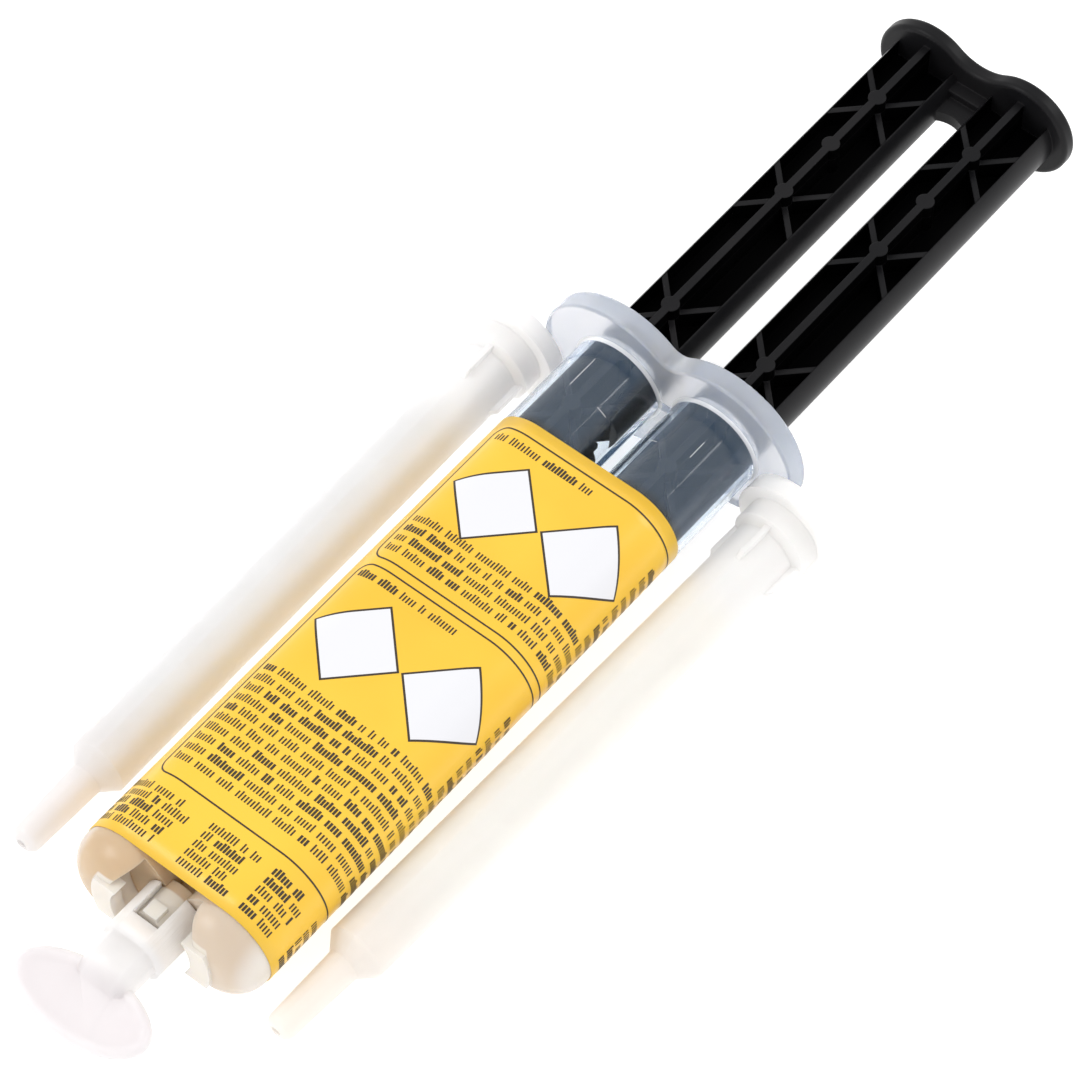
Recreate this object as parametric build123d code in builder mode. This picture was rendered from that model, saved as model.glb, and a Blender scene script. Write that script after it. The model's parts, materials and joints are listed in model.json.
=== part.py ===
"""Twin-barrel epoxy syringe lying on a table, with its closure cap and two static mixing nozzles.

Stations u run along the syringe from the face of its front wall towards the thumb plate. The syringe rests
on its finger flange and its cap's disc, so its axis climbs gently towards the plate. The table is at z = 0.
"""

from build123d import *
import math
import os

# twin barrel
BARREL_PITCH = 18.8
BARREL_RADIUS = 8.2
BORE_RADIUS = 7.4
FRONT_WALL = 1.5
FRONT_DEPTH = 5.6
EAR_ROUND = 5.4
FLANGE_START = 114.3
FLANGE_THICKNESS = 3.8
FLANGE_LOBE = 14.2
FLANGE_LOBE_PITCH = 20.4
FLANGE_WAIST = 10.8
RIM_ROUND = 0.5
WEB_HALF_HEIGHT = 1.5

# outlet nose and bayonet hooks
NOSE_RADIUS = 3.9
NOSE_LENGTH = 5.6
NOSE_KEY_WIDTH = 2.6
NOSE_KEY_LENGTH = 2.6
NOSE_KEY_TOP = 4.8
PORT_INNER = 0.7
PORT_OUTER = 2.9
PORT_HALF_HEIGHT = 1.3
PORT_ROOF = 0.5
HOOK_SEAT_RADIUS = 9.2
HOOK_LIP_RADIUS = 7.7
HOOK_OUTER_RADIUS = 11.4
HOOK_GAP = 3.5
HOOK_LIP = 2.5
HOOK_HALF_HEIGHT = 4.4

# label sleeve
LABEL_START = 0.4
LABEL_LENGTH = 94.4
LABEL_GAP = 0.02
LABEL_THICKNESS = 0.12

# plunger
STROKE = 70.1
BRIDGE_SPARE = 0.2
PLATE_THICKNESS = 2.8
PLATE_LOBE = 9.2
PLATE_LOBE_PITCH = 19.2
PLATE_WAIST = 6.3
PLATE_ROUND = 0.8
ARM_CLEARANCE = 0.55
ARM_FLAT = 6.4
ARM_WALL = 1.4
ARM_WEB = 1.2
SPINE_WIDTH = 1.3
BRACE_WIDTH = 1.0
BRACE_TOP = 4.0
BOSS_RADIUS = 1.5
BOSS_PITCH = 12.4
BOSS_GROUP = 54.0
BOSS_FROM_PLATE = 13.6
END_WALL = 1.6
BOSS_GROUPS = 2
BOSSES_IN_GROUP = 3
BRACED_PLACES = (0, 2)
BRACE_ANGLE = 45
BRIDGE_LENGTH = 6.4
BRIDGE_HALF_WIDTH = 3.2
BRIDGE_THICKNESS = 2.4
BRIDGE_SCOOP_RADIUS = 5.0
BRIDGE_SCOOP_DEPTH = 0.9
GUSSET_LENGTH = 2.4
GUSSET_THICKNESS = 5.2
CATCH_START = 99.6
CATCH_MIDDLE = 102.2
CATCH_END = 105.0
CATCH_SHALLOW = 1.5
CATCH_DEEP = 2.3

# pistons
PISTON_LENGTH = 9.0
PISTON_CLEARANCE = 0.04
PISTON_SPARE = 0.3
PISTON_LIP = 1.6
PISTON_WAIST = 0.7
SPIGOT_RADIUS = 3.0
SPIGOT_LENGTH = 4.0
SPIGOT_CLEARANCE = 0.05
FILL_CLEARANCE = 0.05

# closure cap
COLLAR_RADIUS = 5.3
COLLAR_FLAT = 4.7
COLLAR_FRONT = 10.0
COLLAR_GAP = 0.3
SOCKET_CLEARANCE = 0.05
NOTCH_WIDTH = 4.8
NOTCH_LENGTH = 6.2
NOTCH_FLOOR = 2.6
STEM_RADIUS = 4.5
STEM_FLAT = 3.5
DISC_HALF_WIDTH = 13.2
DISC_HALF_HEIGHT = 8.8
DISC_END_RADIUS = 6.6
DISC_THICKNESS = 1.5
DISC_FRONT = 21.0
PLUG_CLEARANCE = 0.1
PLUG_LENGTH = 3.4

# static mixing nozzles: stations s run along the nozzle from its open base face, so its tip is negative
MIXER_GAP = 0.6
MIXER_FLANGE = 3.2
BELL_RADIUS = 6.6
BELL_END = 6.9
FIN_RADIUS = 6.2
FIN_LENGTH = 6.4
FIN_TAPER = 2.2
FIN_WIDTH = 1.0
TUBE_BASE_RADIUS = 5.25
TUBE_FRONT_RADIUS = 4.95
TUBE_WALL = 1.0
TUBE_FRONT = 101.3
SHOULDER = 2.7
TIP_BASE_RADIUS = 2.8
TIP_END_RADIUS = 2.4
TIP_END = 118.4
TIP_ROUND = 1.5
TIP_BORE_RADIUS = 0.8
BELL_BORE_RADIUS = 5.6
BELL_BORE_DEPTH = 6.6
MIXER_A_BASE_Y = 28.9
MIXER_A_YAW = 0.9
MIXER_B_BASE_Y = -26.3
MIXER_B_YAW = -1.8

# mixing elements
ELEMENT_CLEARANCE = 0.05
INLET_DEPTH = 6.0
INLET_FLOOR = 0.5
BLADE_WIDTH = 7.6
BLADE_THICKNESS = 1.0
BLADE_COUNT = 8
BLADE_LENGTH = 11.4
BLADE_OVERLAP = 0.2
HALF_TURN = 180
QUARTER_TURN = 90

# where the syringe rests: on the flange's front rim and on the front edge of the cap's disc
REST_SLOPE = (FLANGE_LOBE - DISC_HALF_HEIGHT) / (FLANGE_START + DISC_FRONT)
REST_ANGLE = math.atan(REST_SLOPE)
SLOPE_COS = math.cos(REST_ANGLE)
SLOPE_SIN = math.sin(REST_ANGLE)
FLANGE_BACK = FLANGE_START + FLANGE_THICKNESS
PLATE_FRONT = FLANGE_BACK + STROKE + BRIDGE_SPARE + BRIDGE_LENGTH
PLATE_BACK = PLATE_FRONT + PLATE_THICKNESS
REAR_REACH = PLATE_BACK * SLOPE_COS + PLATE_LOBE * SLOPE_SIN
FRONT_REACH = DISC_FRONT * SLOPE_COS + DISC_HALF_HEIGHT * SLOPE_SIN
AXIS_X = (FRONT_REACH - REAR_REACH) / 2
AXIS_Y = -(MIXER_A_BASE_Y + MIXER_B_BASE_Y) / 2
AXIS_HEIGHT = (FLANGE_LOBE - RIM_ROUND) * SLOPE_COS + RIM_ROUND - (FLANGE_START + RIM_ROUND) * SLOPE_SIN
AXIS = Plane(origin=(AXIS_X, AXIS_Y, AXIS_HEIGHT), x_dir=(0, 1, 0), z_dir=(SLOPE_COS, 0, SLOPE_SIN))

# both nozzles lie just in front of the finger flange, on their base flange and on their tube's front rim
MIXER_BASE = FLANGE_START - MIXER_GAP
FLANGE_TO_TUBE_FRONT = TUBE_FRONT - MIXER_FLANGE
MIXER_FLANGE_RADIUS = TUBE_FRONT_RADIUS + FLANGE_TO_TUBE_FRONT * REST_SLOPE
MIXER_RIM = MIXER_BASE - MIXER_FLANGE
MIXER_DROP = MIXER_FLANGE_RADIUS - AXIS_HEIGHT / SLOPE_COS - MIXER_RIM * REST_SLOPE

ARM_RADIUS = BORE_RADIUS - ARM_CLEARANCE
PISTON_FRONT = FRONT_WALL + PISTON_SPARE + STROKE
PISTON_BACK = PISTON_FRONT + PISTON_LENGTH
# each arm is hollowed from above and below: the braces reach less high than the spine and its bosses
POCKET_LAYERS = (
    (ARM_FLAT, BRACE_TOP, ()),
    (BRACE_TOP, ARM_WEB / 2, BRACED_PLACES),
    (-ARM_WEB / 2, -BRACE_TOP, BRACED_PLACES),
    (-BRACE_TOP, -ARM_FLAT, ()),
)
NOSE_BORE = NOSE_RADIUS + SOCKET_CLEARANCE


def lane(base, sideways=0.0, upwards=0.0, yaw=0.0):
    """A plane across a line parallel to the base plane's axis, turned sideways by yaw degrees."""
    turn = math.radians(yaw)
    origin = base.origin + base.x_dir * sideways + base.y_dir * upwards
    across = base.x_dir * math.cos(turn) - base.z_dir * math.sin(turn)
    onwards = base.z_dir * math.cos(turn) + base.x_dir * math.sin(turn)
    return Plane(origin=origin, x_dir=across, z_dir=onwards)


def profile_of(line):
    """The upright plane that holds a lane's axis: local x runs along it and local y upwards."""
    return Plane(origin=line.origin, x_dir=line.z_dir, z_dir=-line.x_dir)


def above(line, height):
    """The plane over a lane: local x runs along it and local y sideways."""
    return Plane(origin=line.origin + line.y_dir * height, x_dir=line.z_dir, z_dir=line.y_dir)


BARREL_A = lane(AXIS, sideways=BARREL_PITCH / 2)
BARREL_B = lane(AXIS, sideways=-BARREL_PITCH / 2)
BARRELS = {"a": BARREL_A, "b": BARREL_B}
MIXERS = {
    "a": lane(AXIS.offset(MIXER_BASE), MIXER_A_BASE_Y, MIXER_DROP, MIXER_A_YAW),
    "b": lane(AXIS.offset(MIXER_BASE), MIXER_B_BASE_Y, MIXER_DROP, MIXER_B_YAW),
}


def twin_circles(pitch, radius, mode=Mode.ADD):
    """Two circles side by side, in a sketch across the syringe."""
    with Locations((pitch / 2, 0), (-pitch / 2, 0)):
        Circle(radius, mode=mode)


def figure_of_eight(pitch, lobe, waist):
    """Two round lobes with a waist between them, whose hollow arcs meet both lobes smoothly."""
    blend = ((pitch / 2) ** 2 + waist**2 - lobe**2) / (2 * (lobe - waist))
    share = lobe / (lobe + blend)
    blend_height = waist + blend
    twin_circles(pitch, lobe)
    Rectangle(pitch * (1 - share), 2 * blend_height * share)
    with Locations((0, blend_height), (0, -blend_height)):
        Circle(blend, mode=Mode.SUBTRACT)


def oval(half_width, half_height, end_radius):
    """An oval of four arcs that run smoothly into one another."""
    end_middle = half_width - end_radius
    rise = half_height - end_radius
    drop = (end_middle**2 - rise**2) / (2 * rise)
    broad_radius = half_height + drop
    join = end_middle * broad_radius / (broad_radius - end_radius)
    with Locations((0, -drop)):
        Circle(broad_radius)
    with Locations((0, drop)):
        Circle(broad_radius, mode=Mode.INTERSECT)
    Rectangle(2 * join, 2 * half_height, mode=Mode.INTERSECT)
    twin_circles(2 * end_middle, end_radius)


def hook_ring(inner_radius):
    """The two arcs that a pair of bayonet hooks takes out of a ring round the outlet."""
    Circle(HOOK_OUTER_RADIUS)
    Circle(inner_radius, mode=Mode.SUBTRACT)
    Rectangle(4 * HOOK_OUTER_RADIUS, 2 * HOOK_HALF_HEIGHT, mode=Mode.INTERSECT)


def flatted_circle(radius, flat):
    """A circle cut flat above and below."""
    Circle(radius)
    Rectangle(2 * radius, 2 * flat, mode=Mode.INTERSECT)


def port_pair(inner, outer, half_height):
    """The two openings side by side in the outlet's face."""
    middle = (inner + outer) / 2
    with Locations((middle, 0), (-middle, 0)):
        Rectangle(outer - inner, 2 * half_height)


def twisted_blade(mixer, count):
    """One half-turn blade of a mixing element: each next blade starts a quarter turn on and twists back."""
    start = mixer.offset(-INLET_DEPTH - INLET_FLOOR + BLADE_OVERLAP - count * BLADE_LENGTH)
    outline = start * Rot(0, 0, QUARTER_TURN * count) * Rectangle(BLADE_WIDTH, BLADE_THICKNESS)
    reach = -start.z_dir * (BLADE_LENGTH + BLADE_OVERLAP)
    twist = HALF_TURN if count % 2 else -HALF_TURN
    return Solid.extrude_linear_with_rotation(outline.face(), start.origin, reach, twist)


def save(block, name):
    """Label a finished piece and write its file."""
    block.part.label = name
    export_step(block.part, f"parts/{name}.step")
    print(f"{name}: {len(block.part.solids())} solid, {block.part.volume:.0f} mm3")


os.makedirs("parts", exist_ok=True)

# cartridge: two barrels joined by a web, with a figure-of-eight flange behind and domed ears in front
with BuildPart() as cartridge:
    with BuildSketch(AXIS.offset(FLANGE_START)):
        figure_of_eight(FLANGE_LOBE_PITCH, FLANGE_LOBE, FLANGE_WAIST)
    extrude(amount=FLANGE_THICKNESS)
    fillet(cartridge.faces().filter_by(AXIS).edges(), RIM_ROUND)
    for barrel in BARRELS.values():
        with BuildSketch(barrel.offset(-FRONT_DEPTH)):
            Circle(BARREL_RADIUS)
        extrude(amount=FRONT_DEPTH + FLANGE_BACK)
    ear_rims = cartridge.faces().filter_by(AXIS).sort_by(Axis(AXIS.origin, AXIS.z_dir))[:2].edges()
    fillet(ear_rims, EAR_ROUND)
    with BuildSketch(AXIS):
        Rectangle(BARREL_PITCH, 2 * WEB_HALF_HEIGHT)
    extrude(amount=FLANGE_BACK)
    # the seat for a nozzle's base flange is cut out of the domes
    with BuildSketch(AXIS):
        Circle(HOOK_SEAT_RADIUS)
    extrude(amount=-FRONT_DEPTH, mode=Mode.SUBTRACT)
    with BuildSketch(AXIS):
        hook_ring(HOOK_SEAT_RADIUS)
    extrude(amount=-HOOK_GAP - HOOK_LIP)
    with BuildSketch(AXIS.offset(-HOOK_GAP)):
        hook_ring(HOOK_LIP_RADIUS)
    extrude(amount=-HOOK_LIP)
    # outlet nose with its key
    with BuildSketch(AXIS.offset(-NOSE_LENGTH)):
        Circle(NOSE_RADIUS)
    extrude(amount=NOSE_LENGTH + FRONT_WALL)
    with BuildSketch(AXIS.offset(-NOSE_LENGTH)):
        with Locations((0, NOSE_KEY_TOP / 2)):
            Rectangle(NOSE_KEY_WIDTH, NOSE_KEY_TOP)
    extrude(amount=NOSE_KEY_LENGTH)
    # bores, and the two ports that lead from them to the nose's face
    with BuildSketch(AXIS.offset(FRONT_WALL)):
        twin_circles(BARREL_PITCH, BORE_RADIUS)
    extrude(amount=FLANGE_BACK, mode=Mode.SUBTRACT)
    with BuildSketch(AXIS.offset(-NOSE_LENGTH)):
        port_pair(PORT_INNER, PORT_OUTER, PORT_HALF_HEIGHT)
    extrude(amount=NOSE_LENGTH + PORT_ROOF, mode=Mode.SUBTRACT)
    with BuildSketch(AXIS.offset(PORT_ROOF)):
        port_pair(PORT_INNER, BARREL_PITCH / 2, PORT_HALF_HEIGHT)
    extrude(amount=FRONT_WALL - PORT_ROOF, mode=Mode.SUBTRACT)
save(cartridge, "cartridge")

# label: a thin sleeve that bridges the valley between the barrels
with BuildPart() as label:
    with BuildSketch(AXIS.offset(LABEL_START)):
        label_inside = BARREL_RADIUS + LABEL_GAP
        SlotCenterToCenter(BARREL_PITCH, 2 * (label_inside + LABEL_THICKNESS))
        SlotCenterToCenter(BARREL_PITCH, 2 * label_inside, mode=Mode.SUBTRACT)
    extrude(amount=LABEL_LENGTH)
save(label, "label")

# plunger: two ribbed arms of round outline, a bridge web between them and a thumb plate
with BuildPart() as plunger:
    with BuildSketch(AXIS.offset(PLATE_FRONT)):
        figure_of_eight(PLATE_LOBE_PITCH, PLATE_LOBE, PLATE_WAIST)
    extrude(amount=PLATE_THICKNESS)
    fillet(plunger.faces().filter_by(AXIS).edges(), PLATE_ROUND)
    for barrel in BARRELS.values():
        with BuildSketch(barrel.offset(PISTON_BACK)):
            flatted_circle(ARM_RADIUS, ARM_FLAT)
        extrude(amount=PLATE_FRONT - PISTON_BACK)
        for top, bottom, braced_places in POCKET_LAYERS:
            with BuildSketch(above(barrel, top)):
                pocket_start = PISTON_BACK + END_WALL
                with Locations(((pocket_start + PLATE_FRONT) / 2, 0)):
                    Rectangle(PLATE_FRONT - pocket_start, 2 * (ARM_RADIUS - ARM_WALL))
                    Rectangle(PLATE_FRONT - pocket_start, SPINE_WIDTH, mode=Mode.SUBTRACT)
                for group in range(BOSS_GROUPS):
                    first_boss = PLATE_FRONT - BOSS_FROM_PLATE - group * BOSS_GROUP
                    for place in range(BOSSES_IN_GROUP):
                        with Locations((first_boss - place * BOSS_PITCH, 0)):
                            Circle(BOSS_RADIUS, mode=Mode.SUBTRACT)
                            if place in braced_places:
                                for turn in (BRACE_ANGLE, -BRACE_ANGLE):
                                    Rectangle(4 * ARM_RADIUS, BRACE_WIDTH, turn, mode=Mode.SUBTRACT)
            extrude(amount=bottom - top, mode=Mode.SUBTRACT)
        with BuildSketch(barrel.offset(PISTON_BACK)):
            Circle(SPIGOT_RADIUS)
        extrude(amount=-SPIGOT_LENGTH)
    for reach, thickness in ((BRIDGE_LENGTH, BRIDGE_THICKNESS), (GUSSET_LENGTH, GUSSET_THICKNESS)):
        with BuildSketch(above(AXIS, -thickness / 2)):
            with Locations((PLATE_FRONT - reach / 2, 0)):
                Rectangle(reach, 2 * BRIDGE_HALF_WIDTH)
            with Locations((PLATE_FRONT - BRIDGE_LENGTH + BRIDGE_SCOOP_DEPTH - BRIDGE_SCOOP_RADIUS, 0)):
                Circle(BRIDGE_SCOOP_RADIUS, mode=Mode.SUBTRACT)
        extrude(amount=thickness)
    # a stepped catch in the inner wall of one arm
    inner_edge = -ARM_RADIUS
    steps = ((CATCH_START, CATCH_MIDDLE, CATCH_SHALLOW), (CATCH_MIDDLE, CATCH_END, CATCH_DEEP))
    for start, end, depth in steps:
        with BuildSketch(above(BARREL_A, -ARM_RADIUS)):
            with Locations(((start + end) / 2, inner_edge)):
                Rectangle(end - start, 2 * depth)
        extrude(amount=2 * ARM_RADIUS, mode=Mode.SUBTRACT)
save(plunger, "plunger")

# pistons: two sealing lips with a waist between, and a blind hole behind for the arm's spigot
for letter, barrel in BARRELS.items():
    with BuildPart() as piston:
        seal_radius = BORE_RADIUS - PISTON_CLEARANCE
        with BuildSketch(barrel.offset(PISTON_FRONT)):
            Circle(seal_radius)
        extrude(amount=PISTON_LENGTH)
        with BuildSketch(barrel.offset(PISTON_FRONT + PISTON_LIP)):
            Circle(seal_radius + PISTON_WAIST)
            Circle(seal_radius - PISTON_WAIST, mode=Mode.SUBTRACT)
        extrude(amount=PISTON_LENGTH - 2 * PISTON_LIP, mode=Mode.SUBTRACT)
        with BuildSketch(barrel.offset(PISTON_BACK)):
            Circle(SPIGOT_RADIUS + SPIGOT_CLEARANCE)
        extrude(amount=-SPIGOT_LENGTH - SPIGOT_CLEARANCE, mode=Mode.SUBTRACT)
    save(piston, f"piston_{letter}")

# the two components, each filling its bore from the front wall to its piston
for name, barrel in (("resin_fill", BARREL_A), ("hardener_fill", BARREL_B)):
    with BuildPart() as fill:
        with BuildSketch(barrel.offset(FRONT_WALL + FILL_CLEARANCE)):
            Circle(BORE_RADIUS - FILL_CLEARANCE)
        extrude(amount=PISTON_FRONT - FRONT_WALL - 2 * FILL_CLEARANCE)
    save(fill, name)

# closure cap: a collar over the nose with two plugs for its ports, a stem and an oval disc for the thumb
with BuildPart() as closure_cap:
    with BuildSketch(AXIS.offset(-DISC_FRONT)):
        oval(DISC_HALF_WIDTH, DISC_HALF_HEIGHT, DISC_END_RADIUS)
    extrude(amount=DISC_THICKNESS)
    fillet(closure_cap.faces().filter_by(AXIS).edges(), RIM_ROUND)
    with BuildSketch(AXIS.offset(-COLLAR_FRONT)):
        flatted_circle(COLLAR_RADIUS, COLLAR_FLAT)
    extrude(amount=COLLAR_FRONT - COLLAR_GAP)
    with BuildSketch(AXIS.offset(-COLLAR_FRONT)):
        flatted_circle(STEM_RADIUS, STEM_FLAT)
    extrude(amount=COLLAR_FRONT + DISC_THICKNESS - DISC_FRONT)
    with BuildSketch(AXIS.offset(-NOSE_LENGTH - PLUG_CLEARANCE)):
        Circle(NOSE_BORE)
    extrude(amount=NOSE_LENGTH, mode=Mode.SUBTRACT)
    with BuildSketch(AXIS.offset(-COLLAR_GAP)):
        with Locations((0, NOTCH_FLOOR + COLLAR_RADIUS / 2)):
            Rectangle(NOTCH_WIDTH, COLLAR_RADIUS)
    extrude(amount=-NOTCH_LENGTH, mode=Mode.SUBTRACT)
    with BuildSketch(AXIS.offset(-NOSE_LENGTH - PLUG_CLEARANCE)):
        port_pair(PORT_INNER + PLUG_CLEARANCE, PORT_OUTER - PLUG_CLEARANCE, PORT_HALF_HEIGHT - PLUG_CLEARANCE)
    extrude(amount=PLUG_LENGTH)
save(closure_cap, "closure_cap")

# static mixing nozzles
for letter, mixer in MIXERS.items():
    with BuildPart() as housing:
        with BuildSketch(profile_of(mixer)):
            with BuildLine():
                tip_round = RadiusArc(
                    (TIP_ROUND - TIP_END, TIP_END_RADIUS),
                    (-TIP_END, TIP_END_RADIUS - TIP_ROUND),
                    -TIP_ROUND,
                )
                Polyline(
                    tip_round @ 1,
                    (-TIP_END, TIP_BORE_RADIUS),
                    (-TUBE_FRONT - SHOULDER, TIP_BORE_RADIUS),
                    (-TUBE_FRONT, TUBE_FRONT_RADIUS - TUBE_WALL),
                    (-BELL_END - TUBE_WALL, TUBE_BASE_RADIUS - TUBE_WALL),
                    (-BELL_BORE_DEPTH, BELL_BORE_RADIUS),
                    (0, BELL_BORE_RADIUS),
                    (0, MIXER_FLANGE_RADIUS),
                    (-MIXER_FLANGE, MIXER_FLANGE_RADIUS),
                    (-MIXER_FLANGE, BELL_RADIUS),
                    (-BELL_END, BELL_RADIUS),
                    (-BELL_END - TUBE_WALL, TUBE_BASE_RADIUS),
                    (-TUBE_FRONT, TUBE_FRONT_RADIUS),
                    (-TUBE_FRONT - SHOULDER, TIP_BASE_RADIUS),
                    tip_round @ 0,
                )
            make_face()
        revolve(axis=Axis(mixer.origin, mixer.z_dir))
        for fin_plane in (profile_of(mixer), above(mixer, 0)):
            with BuildSketch(fin_plane):
                fin_root = TUBE_FRONT_RADIUS - TUBE_WALL / 2
                fin_end = -BELL_END - FIN_LENGTH
                with BuildLine():
                    Polyline(
                        (-BELL_END, fin_root),
                        (-BELL_END, FIN_RADIUS),
                        (fin_end, FIN_RADIUS),
                        (fin_end - FIN_TAPER, fin_root),
                        close=True,
                    )
                make_face()
                mirror(about=Plane.XZ)
            extrude(amount=FIN_WIDTH / 2, both=True)
    save(housing, f"mixer_{letter}_housing")

    blades = [twisted_blade(mixer, count) for count in range(BLADE_COUNT)]
    with BuildPart() as element:
        with BuildSketch(mixer):
            Circle(BELL_BORE_RADIUS - ELEMENT_CLEARANCE)
        extrude(amount=-INLET_DEPTH - INLET_FLOOR)
        with BuildSketch(mixer):
            Circle(NOSE_BORE)
        extrude(amount=-INLET_DEPTH, mode=Mode.SUBTRACT)
        with BuildSketch(mixer.offset(-INLET_DEPTH)):
            port_pair(PORT_INNER, PORT_OUTER, PORT_HALF_HEIGHT)
        extrude(amount=-INLET_FLOOR, mode=Mode.SUBTRACT)
        add(blades)
    save(element, f"mixer_{letter}_element")
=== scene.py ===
# %% [markdown]
# # A two-part glue syringe
# The real set is six pieces that the eye can tell apart: a clear twin-barrel cartridge, a yellow label
# sleeve round it, a black two-armed plunger, a milky closure cap, and two milky mixing nozzles lying beside
# it. The exact solids come from the construction model. This lesson adds what that model can't hold: the
# finishes, the light, the camera, and the thin printed and moulded details.

# %% Load the construction model as a fixed frame
import json
import math
import random

import bmesh
import bpy
from mathutils import Matrix, Vector


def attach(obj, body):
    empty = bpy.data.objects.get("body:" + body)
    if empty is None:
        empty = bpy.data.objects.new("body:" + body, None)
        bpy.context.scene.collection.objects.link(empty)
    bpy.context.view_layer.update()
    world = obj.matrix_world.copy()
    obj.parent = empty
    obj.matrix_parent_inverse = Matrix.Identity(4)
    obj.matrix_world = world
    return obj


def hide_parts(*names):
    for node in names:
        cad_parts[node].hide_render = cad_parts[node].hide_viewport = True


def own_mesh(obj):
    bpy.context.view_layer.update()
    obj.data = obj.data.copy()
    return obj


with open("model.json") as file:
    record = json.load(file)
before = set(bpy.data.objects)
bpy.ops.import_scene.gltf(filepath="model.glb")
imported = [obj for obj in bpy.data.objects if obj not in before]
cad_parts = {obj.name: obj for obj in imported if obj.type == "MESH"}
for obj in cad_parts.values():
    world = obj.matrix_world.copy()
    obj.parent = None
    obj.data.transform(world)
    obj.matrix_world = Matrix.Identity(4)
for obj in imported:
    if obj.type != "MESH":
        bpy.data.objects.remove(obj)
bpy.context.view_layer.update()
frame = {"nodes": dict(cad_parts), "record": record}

# %% [markdown]
# ## Finding the syringe in the scene
# The syringe doesn't lie level: its wide finger flange lifts the back, so its axis climbs a little towards the
# thumb plate. Typing a slope by hand would drift away from the model, so the axis is read from two of its
# mounts, the outlet and the thumb plate. `spot` then turns a station along the syringe, a place across it and a
# height over its axis, all in millimetres, into a point of the scene.

# %% Stations along the syringe
MM = 0.001
NOSE_LENGTH = 5.6
mounts = {mount["name"]: mount for mount in frame["record"]["mounts"]}
outlet = Vector(mounts["outlet"]["pos_m"])
thumb_plate = Vector(mounts["thumb_plate"]["pos_m"])
along = (thumb_plate - outlet).normalized()
across = Vector((0, 1, 0))
upward = along.cross(across)


def spot(station, sideways=0.0, height=0.0):
    """A point of the scene, from millimetres along, across and above the syringe's axis."""
    return outlet + ((station + NOSE_LENGTH) * along + sideways * across + height * upward) * MM


print("the axis climbs by", round(math.degrees(math.asin(along.z)), 2), "degrees")

# %% [markdown]
# ## The camera
# The photograph was taken with a long lens from the cap's side, high over the table, with the syringe running
# up to the right. The view could be matched by eye, but a long lens hides small errors of angle until the
# outlines fail to meet. So the angles were fitted on measured points of the picture, and they are given here
# in the syringe's own frame: turn about its upward line, climb above it, and a hair of roll.

# %% Camera at the photograph's viewpoint
CAMERA_TURN = math.radians(-50.64)
CAMERA_CLIMB = math.radians(55.53)
CAMERA_ROLL = math.radians(-0.28)
CAMERA_DISTANCE = 711.8
AIM_STATION = 98.9
AIM_RIGHT = -9.88
AIM_UP = -10.37
SENSOR_WIDTH = 36.0
LENS = 153.8

flat_right = math.cos(CAMERA_TURN) * along + math.sin(CAMERA_TURN) * across
flat_back = math.sin(CAMERA_TURN) * along - math.cos(CAMERA_TURN) * across
towards_camera = math.cos(CAMERA_CLIMB) * flat_back + math.sin(CAMERA_CLIMB) * upward
level_up = towards_camera.cross(flat_right)
view_right = math.cos(CAMERA_ROLL) * flat_right + math.sin(CAMERA_ROLL) * level_up
view_up = towards_camera.cross(view_right)

camera_data = bpy.data.cameras.new("camera")
camera_data.sensor_width = SENSOR_WIDTH
camera_data.lens = LENS
camera = bpy.data.objects.new("camera", camera_data)
from_aim = AIM_RIGHT * view_right + AIM_UP * view_up + CAMERA_DISTANCE * towards_camera
camera_place = spot(AIM_STATION) + from_aim * MM
camera_axes = Matrix((view_right, view_up, towards_camera)).transposed()
camera.matrix_world = Matrix.Translation(camera_place) @ camera_axes.to_4x4()
bpy.context.scene.collection.objects.link(camera)
bpy.context.scene.camera = camera
print("camera stands at", [round(v, 3) for v in camera_place])

# %% [markdown]
# ## Light and floor
# It is a catalogue picture: pure white ground, hardly a shadow, and long soft highlights on the black plunger.
# A white world gives the even fill, and two large soft boxes give the highlights a direction. The floor is a
# plain pale sheet. Colours go to the picture unchanged, with the Standard view, so that white stays white.

# %% Studio
FLOOR_HALF_SIZE = 1.6
FLOOR_DROP = 0.2
WORLD_STRENGTH = 1.0


def soft_box(name, place, size, power):
    """A large square lamp that faces the middle of the syringe."""
    lamp = bpy.data.lights.new(name, "AREA")
    lamp.shape = "SQUARE"
    lamp.size = size
    lamp.energy = power
    holder = bpy.data.objects.new(name, lamp)
    holder.location = place
    holder.rotation_euler = (spot(AIM_STATION) - Vector(place)).to_track_quat("-Z", "Y").to_euler()
    bpy.context.scene.collection.objects.link(holder)


world = bpy.data.worlds.new("studio")
world.use_nodes = True
world.node_tree.nodes["Background"].inputs["Color"].default_value = (1.0, 1.0, 1.0, 1.0)
world.node_tree.nodes["Background"].inputs["Strength"].default_value = WORLD_STRENGTH
bpy.context.scene.world = world
bpy.context.scene.view_settings.view_transform = "Standard"
soft_box("key_box", (-0.5, 0.55, 0.75), 0.5, 3.0)
soft_box("rim_box", (0.65, -0.45, 0.6), 0.4, 1.5)

floor_mesh = bpy.data.meshes.new("floor")
corners = [(-1, -1), (1, -1), (1, 1), (-1, 1)]
floor_mesh.from_pydata([(x * FLOOR_HALF_SIZE, y * FLOOR_HALF_SIZE, 0) for x, y in corners], [], [(0, 1, 2, 3)])
floor = bpy.data.objects.new("floor", floor_mesh)
floor.location.z = -FLOOR_DROP * MM
bpy.context.scene.collection.objects.link(floor)
print("lamps:", [lamp.name for lamp in bpy.data.lights])

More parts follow.
